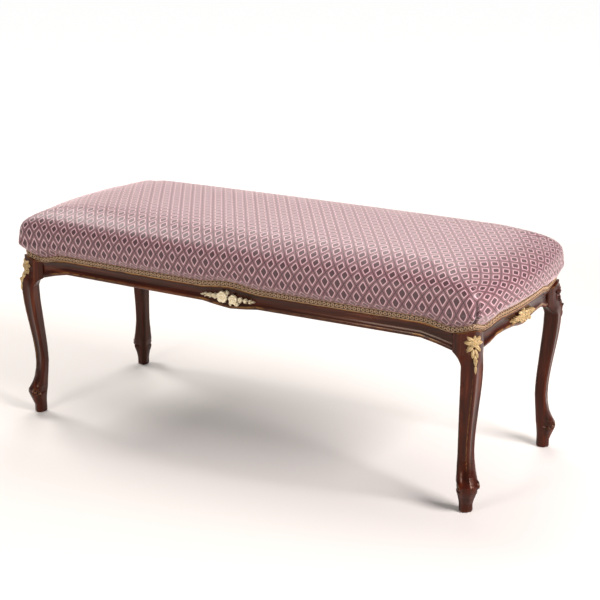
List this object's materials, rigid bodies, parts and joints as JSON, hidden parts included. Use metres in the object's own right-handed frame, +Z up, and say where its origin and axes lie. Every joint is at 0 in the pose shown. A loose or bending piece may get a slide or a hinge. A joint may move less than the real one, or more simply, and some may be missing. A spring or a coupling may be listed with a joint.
{
  "type": "upholstered bench",
  "caption": "Long upholstered bench with a crowned seat in trellis satin, moulded bowed rails with gilded flower carvings and cabriole legs with scroll feet; for sitting on.",
  "frame": {"origin": "on the floor under the middle of the seat", "axes": "+X along the bench, +Y from its front to its back, +Z up"},
  "size_m": [1.167, 0.471, 0.497],
  "materials": {
    "polished_wood": "dark stained, semi-gloss",
    "frame_wood": "bare",
    "gilded_carving": "rubbed gilding",
    "steel": "plain",
    "jute_webbing": "coarse weave",
    "base_cloth": "plain weave",
    "foam": "open-cell foam",
    "wadding": "fibre wadding",
    "satin_cover": "satin weave with a trellis",
    "gold_braid": "metallic thread",
    "dust_cloth": "matt"
  },
  "bodies": {
    "root": {"leg_front_left": "polished_wood", "leg_front_right": "polished_wood", "leg_rear_left": "polished_wood", "leg_rear_right": "polished_wood", "rail_front": "polished_wood", "rail_rear": "polished_wood", "rail_left": "polished_wood", "rail_right": "polished_wood", "corner_block_front_left": "frame_wood", "corner_block_front_right": "frame_wood", "corner_block_rear_left": "frame_wood", "corner_block_rear_right": "frame_wood", "cross_brace": "frame_wood", "rail_dowels": "frame_wood", "carving_front": "gilded_carving", "carving_rear": "gilded_carving", "carving_left": "gilded_carving", "carving_right": "gilded_carving", "knee_carving_front_left": "gilded_carving", "knee_carving_front_right": "gilded_carving", "knee_carving_rear_left": "gilded_carving", "knee_carving_rear_right": "gilded_carving", "corner_block_screws": "steel", "webbing_lengthwise": "jute_webbing", "webbing_crosswise": "jute_webbing", "base_cloth": "base_cloth", "foam_core": "foam", "wadding": "wadding", "seat_cover": "satin_cover", "gimp_braid": "gold_braid", "dust_cover": "dust_cloth"}
  },
  "joints": []
}
